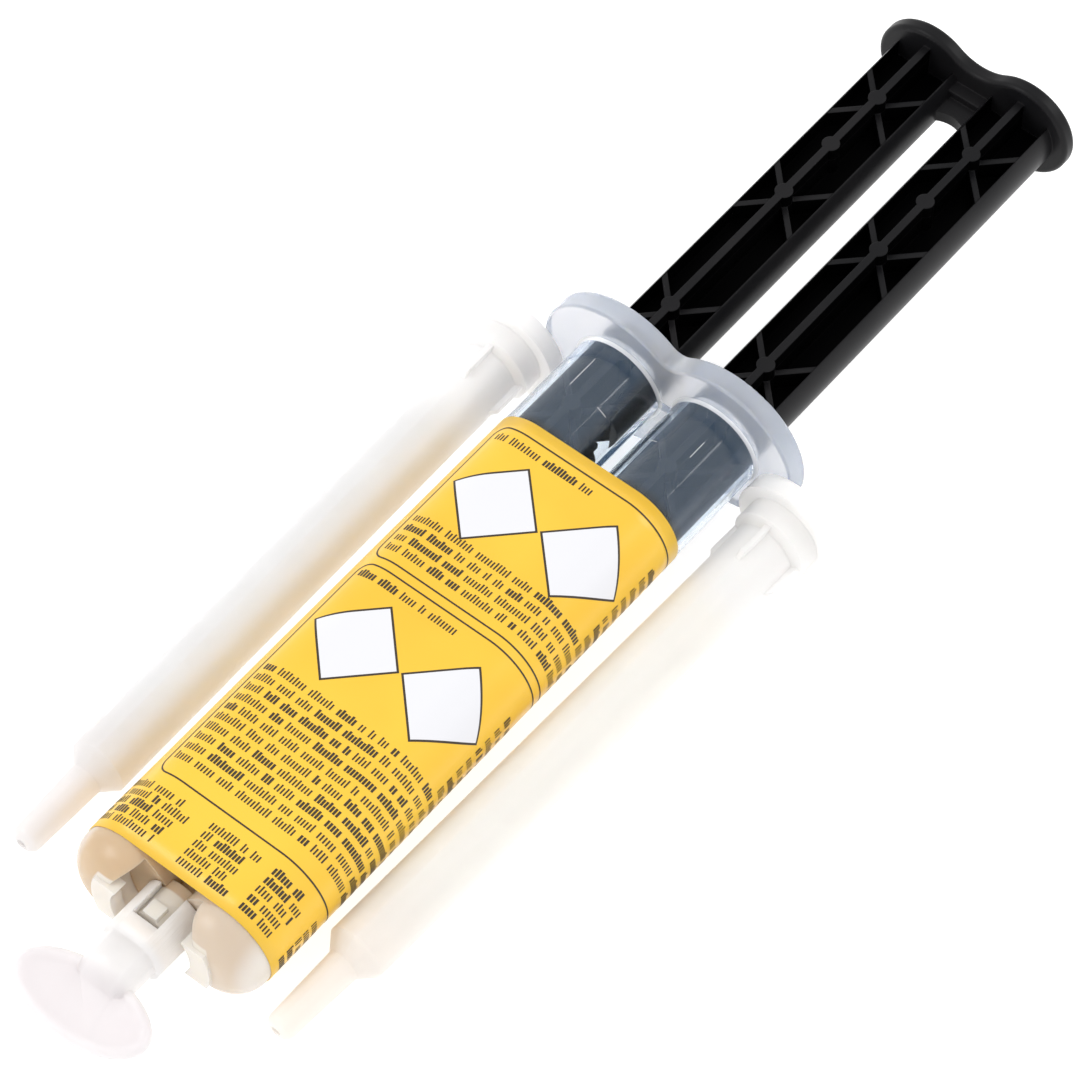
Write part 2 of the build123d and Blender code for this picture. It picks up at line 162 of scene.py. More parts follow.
# %% [markdown]
# ## A kit for plastic finishes
# Every visible piece is moulded plastic or plastic film, so all the finishes share one recipe. A moulded
# surface is never quite even: its colour and its gloss drift a little over centimetres, it has a fine grain
# from the mould, and its edges are never razor sharp. A picture could supply this, but a few noise textures
# in the object's own coordinates do it at any distance and need no unwrapping. The Bevel node rounds the
# light on the edges without touching the mesh.

# %% Plastic kit
FINE_GRAIN = 2600.0
GRAIN_DEPTH = 0.05
BROAD_DRIFT = 60.0
TINT_FROM, TINT_TO = 0.35, 0.65
EDGE_SAMPLES = 4


def sockets_of(material):
    """The inputs of a material's main shader."""
    return material.node_tree.nodes["Principled BSDF"].inputs


def plastic(name, colour, roughness, **sockets):
    """A new material with its main shader set: colour, roughness, and any other sockets by name."""
    material = bpy.data.materials.new(name)
    material.use_nodes = True
    inputs = sockets_of(material)
    inputs["Base Color"].default_value = (*colour, 1.0)
    inputs["Roughness"].default_value = roughness
    for socket, value in sockets.items():
        inputs[socket.replace("_", " ").title().replace("Ior", "IOR")].default_value = value
    return material


def add(material, kind, **settings):
    """A new node in the material's tree, with its settings and the values of its sockets."""
    made = material.node_tree.nodes.new(kind)
    for key, value in settings.items():
        if hasattr(made, key):
            setattr(made, key, value)
        else:
            made.inputs[key.replace("_", " ").title()].default_value = value
    return made


def join(material, source, target):
    material.node_tree.links.new(source, target)


def noise(material, scale, detail=3.0):
    """Noise in the object's own coordinates, so that it stays put when a piece moves with its body."""
    coordinates = add(material, "ShaderNodeTexCoord")
    texture = add(material, "ShaderNodeTexNoise", scale=scale, detail=detail)
    join(material, coordinates.outputs["Object"], texture.inputs["Vector"])
    return texture.outputs["Fac"]


def drift(material, socket, low, high, scale=BROAD_DRIFT):
    """Lets a plain number of the shader wander between two values over the surface."""
    spread = add(material, "ShaderNodeMapRange")
    spread.inputs["To Min"].default_value = low
    spread.inputs["To Max"].default_value = high
    join(material, noise(material, scale), spread.inputs["Value"])
    join(material, spread.outputs["Result"], sockets_of(material)[socket])


def tint(material, first, second, scale=BROAD_DRIFT):
    """Lets the colour wander between two close shades."""
    ramp = add(material, "ShaderNodeValToRGB")
    ramp.color_ramp.elements[0].position = TINT_FROM
    ramp.color_ramp.elements[1].position = TINT_TO
    ramp.color_ramp.elements[0].color = (*first, 1.0)
    ramp.color_ramp.elements[1].color = (*second, 1.0)
    join(material, noise(material, scale), ramp.inputs["Fac"])
    join(material, ramp.outputs["Color"], sockets_of(material)["Base Color"])


def moulded_skin(material, edge_radius, grain, scale=FINE_GRAIN):
    """Rounded edges and a fine mould grain, both only in how the surface catches light."""
    edges = add(material, "ShaderNodeBevel", samples=EDGE_SAMPLES)
    edges.inputs["Radius"].default_value = edge_radius * MM
    bumps = add(material, "ShaderNodeBump")
    bumps.inputs["Strength"].default_value = grain
    bumps.inputs["Distance"].default_value = GRAIN_DEPTH * MM
    join(material, noise(material, scale), bumps.inputs["Height"])
    join(material, edges.outputs["Normal"], bumps.inputs["Normal"])
    join(material, bumps.outputs["Normal"], sockets_of(material)["Normal"])


def dress(node_name, material):
    """Puts a finish on a piece of the construction model, in place of the plain one it came with."""
    piece = frame["nodes"][node_name]
    piece.data.materials.clear()
    piece.data.materials.append(material)


print("plastic kit ready")

# %% [markdown]
# ## The floor's finish
# Catalogue pictures of clear plastic are often taken on a light table, a white sheet lit from below. It keeps
# the ground pure white, takes the shadows away and makes the milky pieces glow from behind. A white floor lit
# only from above would turn grey beside each piece, so this one is matt and gives off light of its own.

# %% Floor
FLOOR_WHITE = (0.5, 0.5, 0.5)
FLOOR_GLOW = 0.8
light_table = plastic("light_table", FLOOR_WHITE, 0.9, emission_strength=FLOOR_GLOW)
sockets_of(light_table)["Emission Color"].default_value = (1.0, 1.0, 1.0, 1.0)
floor_mesh.materials.append(light_table)
print("floor dressed")

# %% [markdown]
# ## Reading the place of a shaded point
# Some finishes change along the syringe: a clear barrel ends in a milky flange, and the pockets of the plunger
# get painted shade that the rib beside them doesn't. Splitting the mesh into patches would leave hard borders.
# Instead, a material measures where the shaded point lies, in the same millimetres along, across and above the
# axis as `spot` uses. The coordinates are the object's own, so the finish travels with a piece that moves.

# %% Place masks
def sum_of(material, operation, *values):
    """One sum on node outputs or plain numbers."""
    node = add(material, "ShaderNodeMath", operation=operation)
    for place, value in enumerate(values):
        if isinstance(value, float):
            node.inputs[place].default_value = value
        else:
            join(material, value, node.inputs[place])
    return node.outputs[0]


def product(material, first, second):
    """Two masks at once, or one mask made weaker by a number."""
    return sum_of(material, "MULTIPLY", first, second)


def distance_along(material, direction):
    """How far a shaded point lies from station zero of the axis, in millimetres along one direction."""
    coordinates = add(material, "ShaderNodeTexCoord")
    from_zero = add(material, "ShaderNodeVectorMath", operation="SUBTRACT")
    from_zero.inputs[1].default_value = spot(0)
    distance = add(material, "ShaderNodeVectorMath", operation="DOT_PRODUCT")
    distance.inputs[1].default_value = direction / MM
    join(material, coordinates.outputs["Object"], from_zero.inputs[0])
    join(material, from_zero.outputs["Vector"], distance.inputs[0])
    return distance.outputs["Value"]


def step_at(material, value, start, end):
    """0 up to the start and 1 from the end on, with a smooth turn between. The end may be the smaller one."""
    turn = add(material, "ShaderNodeMapRange", interpolation_type="SMOOTHSTEP")
    turn.inputs["From Min"].default_value = start
    turn.inputs["From Max"].default_value = end
    join(material, value, turn.inputs["Value"])
    return turn.outputs["Result"]


def steer(material, socket, share, low, high):
    """Sets a plain number of the shader to low where a mask is 0 and to high where it is 1."""
    spread = add(material, "ShaderNodeMapRange")
    spread.inputs["To Min"].default_value = low
    spread.inputs["To Max"].default_value = high
    join(material, share, spread.inputs["Value"])
    join(material, spread.outputs["Result"], sockets_of(material)[socket])


def cast(material, share, colour):
    """Multiplies the base colour by another colour, as far as a mask says."""
    target = sockets_of(material)["Base Color"]
    mix = add(material, "ShaderNodeMixRGB", blend_type="MULTIPLY")
    mix.inputs["Color2"].default_value = (*colour, 1.0)
    if target.links:
        join(material, target.links[0].from_socket, mix.inputs["Color1"])
    else:
        mix.inputs["Color1"].default_value = target.default_value
    join(material, share, mix.inputs["Fac"])
    join(material, mix.outputs["Color"], target)


print("place masks ready")

# %% [markdown]
# ## The clear cartridge
# It is one moulding of clear polypropylene, but it doesn't look the same all over. The thin barrel walls are
# clear, with the arms showing slate grey through them. The thick flange scatters the light and looks milky and
# slightly blue, the outlet's hooks are milky too, and the domed ears in front take on the beige of the paste
# behind them, paler on the hardener's side. Towards their outer rims the ears are painted paler, a painted sheen
# for the light they catch at a grazing view. So one material has four looks, told apart by place. The faint
# haze inside the clear plastic scatters blue light most, as thin smoke does, so what comes through it is a little
# warm. A trace of painted bluish glow stands for the scattered light, where the arms show dark behind the bare
# barrels, and twice as much in the thick flange.

# %% Cartridge
BARREL_CLEAR = (0.93, 0.97, 1.0)
FLANGE_FRONT = 114.3
HOOK_RING = 11.4
HOOK_HEIGHT = 5.0
EAR_BACK = 8.0
EAR_RIM = 15.8
RIM_SOFTNESS = 1.6
SIDE_SOFTNESS = 5.0
HARDENER_TINT = 0.75
SOFT_EDGE = 0.4
CLEARNESS = 0.985
FLANGE_MILK = 0.23
FRONT_MILK = 0.75
PAINTED_HAZE_GLOW = (0.2, 0.52, 1.0)
PAINTED_HAZE_GLOW_STRENGTH = 0.055
VALLEY_HALF_WIDTH = 2.5
LABEL_BACK = 94.8
LABEL_FADE = 2.0


def clear_plastic():
    material = plastic("clear_plastic", BARREL_CLEAR, 0.1, ior=1.39, subsurface_weight=0.7, subsurface_scale=1.5 * MM)
    sockets_of(material)["Emission Color"].default_value = (*PAINTED_HAZE_GLOW, 1.0)
    sockets_of(material)["Subsurface Radius"].default_value = (1.0, 1.0, 1.2)
    station, sideways, height = (distance_along(material, way) for way in (along, across, upward))
    aside = sum_of(material, "ABSOLUTE", sideways)
    squares = sum_of(material, "ADD", product(material, sideways, sideways), product(material, height, height))
    from_axis = sum_of(material, "SQRT", squares)
    flange = step_at(material, station, FLANGE_FRONT - SOFT_EDGE, FLANGE_FRONT)
    ring = step_at(material, from_axis, HOOK_RING + SOFT_EDGE, HOOK_RING)
    low = step_at(material, sum_of(material, "ABSOLUTE", height), HOOK_HEIGHT + SOFT_EDGE, HOOK_HEIGHT)
    ahead = step_at(material, station, 0.0, -SOFT_EDGE)
    hooks = product(material, ring, product(material, low, ahead))
    front = step_at(material, station, EAR_BACK, EAR_BACK - SOFT_EDGE)
    rim = step_at(material, aside, EAR_RIM - RIM_SOFTNESS, EAR_RIM + RIM_SOFTNESS)
    resin = step_at(material, sideways, -SIDE_SOFTNESS, SIDE_SOFTNESS)
    side_tint = sum_of(material, "ADD", HARDENER_TINT, product(material, 1.0 - HARDENER_TINT, resin))
    no_hooks = sum_of(material, "SUBTRACT", 1.0, hooks)
    off_rim_sheen = sum_of(material, "SUBTRACT", 1.0, rim)
    paste_tint = product(material, product(material, front, no_hooks), off_rim_sheen)
    cast(material, product(material, paste_tint, side_tint), (0.755, 0.54, 0.34))
    # Painted sheen: the ears are made paler towards their outer rims, for the light they catch at a grazing view.
    cast(material, product(material, front, rim), (0.98, 0.88, 0.78))
    cast(material, hooks, (0.97, 0.87, 0.76))
    cast(material, flange, (0.93, 0.87, 0.835))
    past_flange = sum_of(material, "SUBTRACT", CLEARNESS, product(material, flange, FLANGE_MILK))
    see_through = sum_of(material, "SUBTRACT", past_flange, product(material, front, FRONT_MILK))
    join(material, see_through, sockets_of(material)["Transmission Weight"])
    steer(material, "Roughness", sum_of(material, "MAXIMUM", flange, front), 0.05, 0.24)
    # Painted glow: a faint bluish emission on the bare barrels, twice as much in the flange, stands for scattered
    # light.
    behind_label = step_at(material, station, LABEL_BACK, LABEL_BACK + LABEL_FADE)
    off_valley = step_at(material, aside, VALLEY_HALF_WIDTH, 2 * VALLEY_HALF_WIDTH)
    bare = product(material, behind_label, off_valley)
    haze = product(material, sum_of(material, "ADD", bare, flange), 0.5)
    steer(material, "Emission Strength", haze, 0.0, PAINTED_HAZE_GLOW_STRENGTH)
    return material


dress("cartridge", clear_plastic())
print("cartridge dressed")

# %% [markdown]
# ## The black plunger
# Black plastic with a satin gloss: the ribs, braces and bosses catch a grey sheen, while the deep pockets
# between them send hardly any light back. One even black would show the floors of the pockets as bright as the
# ribs, since both look up at the white room. So the material knows which points lie inside the pockets, below
# the ribs' tops, and paints shade there: it darkens their colour and takes their gloss away. The roughness
# drifts to break the highlights up.

# %% Plunger
ARM_OFFSET = 9.4
POCKET_HALF_WIDTH = 5.45
RIB_TOP = 6.4
BRACE_TOP = 4.0
PLATE_FRONT = 194.8
HAIR = 0.06
RIB_GLOSS = 0.16
POCKET_GLOSS = 0.015


def satin_black():
    material = plastic("satin_black", (0.012, 0.012, 0.014), 0.38, ior=1.45)
    tint(material, (0.006, 0.006, 0.007), (0.011, 0.0105, 0.0115))
    drift(material, "Roughness", 0.3, 0.42, 90.0)
    station, sideways, height = (distance_along(material, way) for way in (along, across, upward))
    from_arm = sum_of(material, "SUBTRACT", sum_of(material, "ABSOLUTE", sideways), ARM_OFFSET)
    aside = sum_of(material, "ABSOLUTE", from_arm)
    rise = sum_of(material, "ABSOLUTE", height)
    within = step_at(material, aside, POCKET_HALF_WIDTH + HAIR, POCKET_HALF_WIDTH)
    sunk = step_at(material, rise, RIB_TOP - HAIR, RIB_TOP - 2 * HAIR)
    before_plate = step_at(material, station, PLATE_FRONT, PLATE_FRONT - HAIR)
    from_brace = sum_of(material, "ABSOLUTE", sum_of(material, "SUBTRACT", rise, BRACE_TOP))
    off_brace = step_at(material, from_brace, HAIR / 2, HAIR)
    painted_pocket_shade = product(material, product(material, within, sunk), product(material, before_plate, off_brace))
    # Painted shade: inside the pockets the colour is darkened and the gloss taken away.
    steer(material, "Specular IOR Level", painted_pocket_shade, RIB_GLOSS, POCKET_GLOSS)
    cast(material, painted_pocket_shade, (0.15, 0.15, 0.15))
    moulded_skin(material, 0.35, 0.015)
    return material


dress("plunger", satin_black())
print("plunger dressed")

# %% [markdown]
# ## Pastes and pistons
# The resin and the hardener show only through the front wall, as a beige paste. A paste under clear plastic
# looks wet where it touches the wall, so it is glossy with a soft, slightly uneven colour.

# %% Fills and pistons
def paste(name, light, dark):
    material = plastic(name, light, 0.25, subsurface_weight=0.3, subsurface_scale=2.0 * MM)
    tint(material, dark, light, 140.0)
    moulded_skin(material, 0.2, 0.25, 700.0)
    return material


dress("resin_fill", paste("resin_paste", (0.8, 0.66, 0.44), (0.74, 0.6, 0.38)))
dress("hardener_fill", paste("hardener_paste", (0.84, 0.7, 0.5), (0.78, 0.64, 0.43)))
piston_white = plastic("piston_white", (0.8, 0.8, 0.79), 0.4)
moulded_skin(piston_white, 0.2, 0.1)
drift(piston_white, "Roughness", 0.34, 0.46)
for piston in ("piston_a", "piston_b"):
    dress(piston, piston_white)
print("fills and pistons dressed")

# %% [markdown]
# ## The milky closure cap
# Natural polyethylene without pigment: light goes in, spreads a few millimetres and comes out again, so the
# thin tab glows white and the thick stem is a shade darker. Subsurface scattering does just this, and a small
# share of rough transmission lets the ground shine through the thin places, with a faint painted glow on top.
# The collar gets a warm tint, a painted reflection of the paste's colour, and the tab, which takes in the most
# light, is darkened with painted shade; both are toned down against the stem.

# %% Cap
def milky_plastic(name, colour, shade, see_through, glow):
    """Plastic without pigment, in two close shades, with a share of light that passes and a little glow."""
    material = plastic(name, colour, 0.36, ior=1.48, subsurface_weight=0.85, subsurface_scale=2.2 * MM,
                       transmission_weight=see_through, emission_strength=glow)
    sockets_of(material)["Emission Color"].default_value = (*colour, 1.0)
    sockets_of(material)["Subsurface Radius"].default_value = (1.0, 1.0, 1.0)
    tint(material, shade, colour, 45.0)
    drift(material, "Roughness", 0.3, 0.42, 110.0)
    moulded_skin(material, 0.3, 0.1)
    return material


STEM_BACK = -10.0
STEM_FADE = 2.0
TAB_START = -14.0
TAB_FADE = 3.0
milky_cap = milky_plastic("milky_cap", (0.93, 0.905, 0.895), (0.905, 0.88, 0.87), 0.2, 0.035)
cap_station = distance_along(milky_cap, along)
# Painted reflection: the collar is tinted warm for the paste's colour reflected into it.
cast(milky_cap, step_at(milky_cap, cap_station, STEM_BACK, STEM_BACK + STEM_FADE), (0.985, 0.95, 0.905))
# Painted shade: the tab, which takes in the most light, is darkened.
cast(milky_cap, step_at(milky_cap, cap_station, TAB_START, TAB_START - TAB_FADE), (0.865, 0.85, 0.868))
dress("closure_cap", milky_cap)
print("cap dressed")

# %% [markdown]
# ## The mixing nozzles
# Both nozzles are the same moulding, but one is whiter and one has a warm tint, and through the warm one the
# twisted blades show as a faint repeating shade. So the housings are milky with more transmission than the
# cap, and the blades inside are an opaque cream. A thin milky wall on a light table also passes on light that
# few of the traced rays would find, so a little glow is added to it, and on the whiter nozzle more at the base.
# The warm one's base is whiter than its tube, so the warmth is cast on the tube alone. Both thin tips are
# darkened with painted shade, as they would else melt into the floor.

# %% Nozzles
BASE_FRONT = 96.0
BASE_FADE = 8.0
TIP_START = 30.0
TIP_FADE = 20.0


def paint_shade_on_tip(material):
    """Darkens a nozzle's thin tip with painted shade."""
    tip_painted_shade = step_at(material, distance_along(material, along), TIP_START, TIP_START - TIP_FADE)
    cast(material, tip_painted_shade, (0.925, 0.9, 0.89))


milky_nozzle = milky_plastic("milky_nozzle", (0.945, 0.93, 0.928), (0.925, 0.907, 0.905), 0.32, 0.0)
at_base = step_at(milky_nozzle, distance_along(milky_nozzle, along), BASE_FRONT - BASE_FADE, BASE_FRONT)
steer(milky_nozzle, "Emission Strength", at_base, 0.035, 0.1)
paint_shade_on_tip(milky_nozzle)
dress("mixer_a_housing", milky_nozzle)
warm_nozzle = milky_plastic("warm_nozzle", (0.962, 0.945, 0.93), (0.95, 0.925, 0.905), 0.35, 0.08)
on_tube = step_at(warm_nozzle, distance_along(warm_nozzle, along), BASE_FRONT, BASE_FRONT - BASE_FADE)
cast(warm_nozzle, on_tube, (1.0, 0.975, 0.93))
paint_shade_on_tip(warm_nozzle)
dress("mixer_b_housing", warm_nozzle)
blade_cream = plastic("blade_cream", (0.85, 0.83, 0.76), 0.45, subsurface_weight=0.3, subsurface_scale=1.5 * MM)
moulded_skin(blade_cream, 0.2, 0.1)
drift(blade_cream, "Roughness", 0.4, 0.5)
for blades in ("mixer_a_element", "mixer_b_element"):
    dress(blades, blade_cream)
print("nozzles dressed")

# %% [markdown]
# ## The label sleeve
# The label is a printed film shrunk round both barrels, flat over the valley between them. The construction
# model has it as a plain sleeve. Here it is laid again as a fine sheet over the same shape, because the print
# has to lie on it without sinking into a facet. A point of the sleeve is given by its station and its distance
# round the sleeve from the top's middle line, as if the label were laid out flat.

# %% Label sheet
BARREL_PITCH = 2 * ARM_OFFSET
SLEEVE_RADIUS = 8.34
FILM = 0.12
LABEL_FRONT = 0.4
half_round = math.pi * SLEEVE_RADIUS
ring_length = 2 * (BARREL_PITCH + half_round)


def on_sleeve(station, round_place, lift=0.0):
    """A point on the label, from its station and its way round from the top's middle line, towards nozzle a."""
    radius = SLEEVE_RADIUS + lift
    side = 1 if round_place >= 0 else -1
    way = abs(round_place)
    flat = BARREL_PITCH / 2
    if way <= flat:
        return spot(station, side * way, radius)
    if way <= flat + half_round:
        angle = (way - flat) / SLEEVE_RADIUS
        return spot(station, side * (flat + radius * math.sin(angle)), radius * math.cos(angle))
    return spot(station, side * (ring_length / 2 - way), -radius)


def mesh_piece(name, points, faces, material, body):
    """A new piece from points and faces, dressed and set to ride on its body."""
    mesh = bpy.data.meshes.new(name)
    mesh.from_pydata(points, [], faces)
    mesh.materials.append(material)
    for face in mesh.polygons:
        face.use_smooth = True
    piece = bpy.data.objects.new(name, mesh)
    bpy.context.scene.collection.objects.link(piece)
    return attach(piece, body)


def label_film():
    material = plastic("label_film", (0.86, 0.52, 0.028), 0.34, coat_weight=0.25, coat_roughness=0.2)
    tint(material, (0.84, 0.49, 0.022), (0.88, 0.55, 0.034), 35.0)
    drift(material, "Roughness", 0.3, 0.4, 80.0)
    moulded_skin(material, 0.05, 0.06)
    return material


ROUND_STEPS = 240
STATION_STEPS = 24
label_points = []
for lift in (0.0, -FILM):
    for i in range(STATION_STEPS + 1):
        station = LABEL_FRONT + (LABEL_BACK - LABEL_FRONT) * i / STATION_STEPS
        for j in range(ROUND_STEPS):
            label_points.append(on_sleeve(station, ring_length * (j / ROUND_STEPS - 0.5), lift))
layer = (STATION_STEPS + 1) * ROUND_STEPS
label_faces = []
for i in range(STATION_STEPS):
    for j in range(ROUND_STEPS):
        a, b = i * ROUND_STEPS + j, i * ROUND_STEPS + (j + 1) % ROUND_STEPS
        outer = (a, b, b + ROUND_STEPS, a + ROUND_STEPS)
        label_faces.append(outer)
        label_faces.append(tuple(layer + k for k in reversed(outer)))
for i in (0, STATION_STEPS):
    for j in range(ROUND_STEPS):
        a, b = i * ROUND_STEPS + j, i * ROUND_STEPS + (j + 1) % ROUND_STEPS
        label_faces.append((a, a + layer, b + layer, b) if i == 0 else (a, b, b + layer, a + layer))
label_sheet = mesh_piece("label_sheet", label_points, label_faces, label_film(), "cartridge")
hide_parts("label")
print("label ring is", round(ring_length, 1), "mm round")

# %% [markdown]
# ## The cap's thumb tab
# In the picture the cap ends in a flat oval tab in line with its stem, with a slightly raised border. The
# construction model has a disc across the axis there. The tab could be a thin slab pushed against the old
# shape, but the disc would still show. So the cap is made again: its collar and stem are copied from the exact
# solid and cut off, a short wedge runs down from the stem's flats, and a Boolean union joins it to the tab. The
# tab is built as rings round an oval: a rounded rim, a flat border and a shallow panel inside it.

# %% The tab as rings
TAB_MIDDLE = -20.5
TAB_HALF_LENGTH = 6.3
TAB_HALF_WIDTH = 12.25
TAB_HALF_THICKNESS = 1.1
TAB_BORDER = 1.5
TAB_SLOPE = 0.5
TAB_SINK = 0.3
TAB_AROUND = 96
RIM_STEPS = 12


def tab_slab():
    """The oval tab as a closed mesh: rings from the middle of its top over the rim to the middle of its bottom."""
    half_turn = [math.radians(180 * k / RIM_STEPS) for k in range(RIM_STEPS + 1)]
    rim = [(TAB_HALF_THICKNESS * (1 - math.sin(turn)), TAB_HALF_THICKNESS * math.cos(turn)) for turn in half_turn]
    top = [(TAB_BORDER + TAB_SLOPE, TAB_HALF_THICKNESS - TAB_SINK), (TAB_BORDER, TAB_HALF_THICKNESS)]
    bottom = [(inset, -height) for inset, height in reversed(top)]
    profile = top + rim + bottom
    points, faces = [], []
    for inset, height in profile:
        for k in range(TAB_AROUND):
            angle = math.tau * k / TAB_AROUND
            points.append(spot(TAB_MIDDLE + (TAB_HALF_LENGTH - inset) * math.cos(angle),
                               (TAB_HALF_WIDTH - inset) * math.sin(angle), height))
    for ring in range(len(profile) - 1):
        for k in range(TAB_AROUND):
            a, b = ring * TAB_AROUND + k, ring * TAB_AROUND + (k + 1) % TAB_AROUND
            faces.append((a, b, b + TAB_AROUND, a + TAB_AROUND))
    faces.append(tuple(reversed(range(TAB_AROUND))))
    faces.append(tuple(range(len(points) - TAB_AROUND, len(points))))
    return points, faces


tab_points, tab_faces = tab_slab()
tab_mesh = bpy.data.meshes.new("cap_tab")
tab_mesh.from_pydata(tab_points, [], tab_faces)
print("tab has", len(tab_faces), "faces")

# %% [markdown]
# The stem is cut on a flat plane, which leaves an open edge round the hole. That edge is drawn out by a few
# millimetres and pressed flat on the way, which gives the wedge, and its far end is closed again. A copy of the
# solid's mesh is worked on, so the construction model itself stays as it is.

# %% Cut the stem
STEM_CUT = -15.2
WEDGE_END = -17.6
WEDGE_SQUEEZE = 0.2
WELD = 0.001


def cut_stem(mesh):
    """Takes the disc off a copy of the cap, and closes the stem with a wedge."""
    solid = bmesh.new()
    solid.from_mesh(mesh)
    bmesh.ops.remove_doubles(solid, verts=solid.verts, dist=WELD * MM)
    whole = solid.verts[:] + solid.edges[:] + solid.faces[:]
    bmesh.ops.bisect_plane(solid, geom=whole, plane_co=spot(STEM_CUT), plane_no=along, clear_inner=True)
    open_edges = [edge for edge in solid.edges if edge.is_boundary]
    drawn_out = bmesh.ops.extrude_edge_only(solid, edges=open_edges)["geom"]
    for part in drawn_out:
        if isinstance(part, bmesh.types.BMVert):
            height = (part.co - spot(0)).dot(upward)
            part.co += along * (WEDGE_END - STEM_CUT) * MM - upward * height * (1 - WEDGE_SQUEEZE)
    end_edges = [edge for edge in solid.edges if edge.is_boundary]
    bmesh.ops.contextual_create(solid, geom=end_edges)
    bmesh.ops.recalc_face_normals(solid, faces=solid.faces)
    print("stem cut with", len(open_edges), "open edges, then", sum(edge.is_boundary for edge in solid.edges))
    solid.to_mesh(mesh)
    solid.free()


stem_mesh = frame["nodes"]["closure_cap"].data.copy()
cut_stem(stem_mesh)

# %% [markdown]
# The two closed meshes overlap. Left like that, light would meet the hidden faces inside the milky plastic, so
# a Boolean modifier unites them into one skin. Its result is read once as a plain mesh, and the two helpers go.

# %% Unite the stem and the tab
SMOOTH_UNDER = math.radians(30)
stem = bpy.data.objects.new("cap_stem", stem_mesh)
tab = bpy.data.objects.new("cap_tab", tab_mesh)
for helper in (stem, tab):
    bpy.context.scene.collection.objects.link(helper)
union = stem.modifiers.new("union", "BOOLEAN")
union.operation = "UNION"
union.solver = "EXACT"
union.object = tab
bpy.context.view_layer.update()
cap_mesh = bpy.data.meshes.new_from_object(stem.evaluated_get(bpy.context.evaluated_depsgraph_get()))
for helper in (stem, tab):
    bpy.data.objects.remove(helper)
cap_mesh.materials.clear()
cap_mesh.materials.append(milky_cap)
cap_mesh.shade_smooth()
cap_mesh.set_sharp_from_angle(angle=SMOOTH_UNDER)
cap_moulding = bpy.data.objects.new("cap_moulding", cap_mesh)
bpy.context.scene.collection.objects.link(cap_moulding)
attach(cap_moulding, "closure_cap")
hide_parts("closure_cap")
print("cap moulding has", len(cap_mesh.polygons), "faces")

# %% [markdown]
# ## The print on the label
# The label is covered in fine dark print inside thin rounded frames, with white fields among it. What it says
# isn't modelled: rows of short upright ticks stand for the print, and plain white fields for the marks. Ink
# has no thickness worth drawing, but a painted texture would blur when the camera comes close. So each mark
# is a small patch laid a few hundredths of a millimetre over the film, and long marks are cut into short
# steps that follow the curve of the sleeve.

# %% Ink
FIELD_EDGE_LIFT = 0.02
FIELD_LIFT = 0.03
INK_LIFT = 0.03
STEP = 0.4
CORNER_STEPS = 8


class Ink:
    """A growing sheet of small patches on the label, which becomes one piece."""

    def __init__(self):
        self.points, self.faces = [], []

    def patch(self, corners, lift):
        """Four corners, as pairs of station and way round."""
        first = len(self.points)
        self.points += [on_sleeve(station, way, lift) for station, way in corners]
        self.faces.append((first, first + 1, first + 2, first + 3))

    def band(self, inner, outer, lift):
        """A closed line between two outlines with the same number of points."""
        for k in range(len(inner)):
            after = (k + 1) % len(inner)
            self.patch((inner[k], outer[k], outer[after], inner[after]), lift)


def rounded_outline(box, corner, inset=0.0):
    """Points round a rectangle with rounded corners, as pairs of station and way round, in even steps."""
    low_u, high_u, low_r, high_r = box
    outline = []
    for centre_u, centre_r, start in (
        (high_u - corner, high_r - corner, 0),
        (low_u + corner, high_r - corner, 90),
        (low_u + corner, low_r + corner, 180),
        (high_u - corner, low_r + corner, 270),
    ):
        for k in range(CORNER_STEPS + 1):
            angle = math.radians(start + 90 * k / CORNER_STEPS)
            radius = corner - inset
            outline.append((centre_u + radius * math.cos(angle), centre_r + radius * math.sin(angle)))
    return outline


def in_steps(outline, guide):
    """The outline with extra points, as many between two corners as the guide's sides need."""
    dense = []
    for k in range(len(outline)):
        here, there = outline[k], outline[(k + 1) % len(outline)]
        pieces = max(1, math.ceil(math.dist(guide[k], guide[(k + 1) % len(guide)]) / STEP))
        dense += [tuple(a + (b - a) * piece / pieces for a, b in zip(here, there)) for piece in range(pieces)]
    return dense


def frame_line(ink, box, corner, width):
    """A thin printed line round a rounded rectangle."""
    outer = rounded_outline(box, corner)
    inner = rounded_outline(box, corner, width)
    ink.band(in_steps(inner, outer), in_steps(outer, outer), INK_LIFT)


def diamond(ink, middle, reach, lift):
    """A square field standing on its corner, cut into strips across the sleeve."""
    station, way = middle
    strips = math.ceil(reach / STEP)
    for k in range(-strips, strips):
        near, far = reach * k / strips, reach * (k + 1) / strips
        at_near, at_far = reach - abs(near), reach - abs(far)
        ink.patch(((station - at_near, way + near), (station + at_near, way + near),
                   (station + at_far, way + far), (station - at_far, way + far)), lift)


print("ink tools ready")

# %% [markdown]
# A row of print is a string of words, and a word is a few upright ticks of slightly different height. Some
# words are bold. A seeded random number picks the lengths and heights, so every run gives the same label.

# %% Rows of print
TICK_PITCH = 0.58
TICK_WIDTH = 0.27
BOLD_WIDTH = 0.4
PRINT_HEIGHT = 1.15
TALL = 1.45
WORD_GAP = 0.75
SHORTEST_WORD, LONGEST_WORD = 2, 11
BOLD_SHARE = 0.3
TALL_SHARE = 0.3
picker = random.Random(7)


